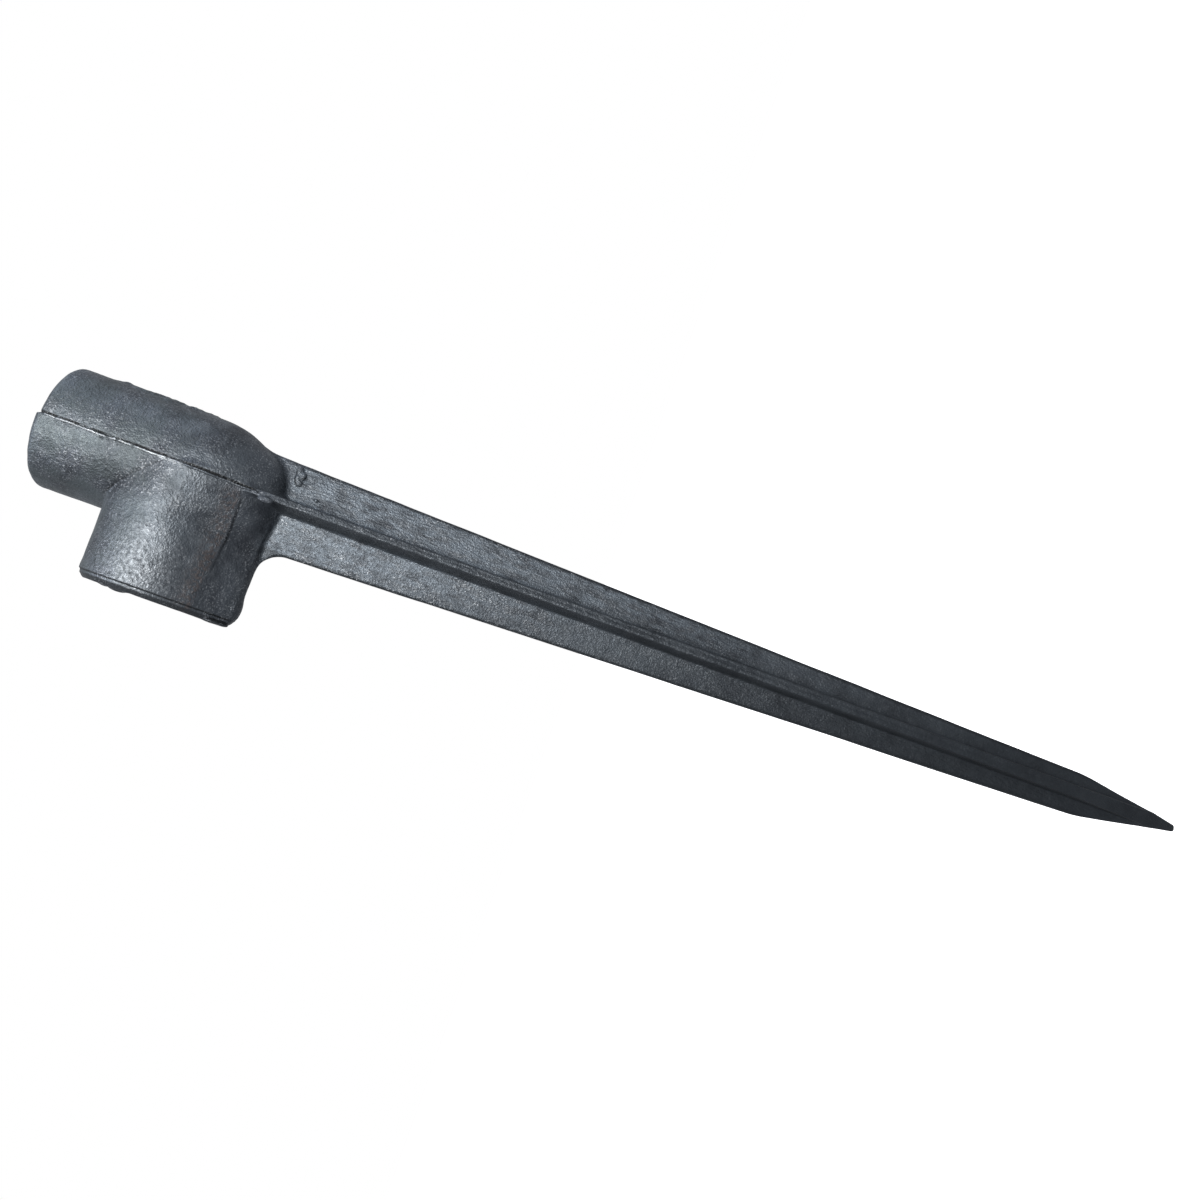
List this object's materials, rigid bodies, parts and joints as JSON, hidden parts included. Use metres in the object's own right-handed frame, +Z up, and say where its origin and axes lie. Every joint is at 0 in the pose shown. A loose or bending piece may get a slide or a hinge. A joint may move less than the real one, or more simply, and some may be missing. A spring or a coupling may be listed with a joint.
{
  "type": "sprinkler ground spike",
  "caption": "Cast-iron ground spike with a tapered four-finned blade, a threaded outlet socket in line with it and a threaded inlet socket at its side.",
  "frame": {"origin": "on the spike's axis at the soil line, where the head ends and the four fins begin", "axes": "+Z up the spike and out of the outlet socket; the inlet socket faces -X; fins lie along X and Y"},
  "size_m": [0.053, 0.0348, 0.3305],
  "materials": {
    "black_cast_iron": "as cast, blackened skin with fine grain, dull sheen on the rubbed places"
  },
  "bodies": {
    "root": {"outlet_socket": "black_cast_iron", "elbow_body": "black_cast_iron", "inlet_socket": "black_cast_iron", "shoulder": "black_cast_iron", "heel_web": "black_cast_iron", "spike_core": "black_cast_iron", "fin_outer": "black_cast_iron", "fin_inlet_side": "black_cast_iron", "fin_front": "black_cast_iron", "fin_back": "black_cast_iron", "spike_point": "black_cast_iron", "parting_flash": "black_cast_iron"}
  },
  "joints": []
}
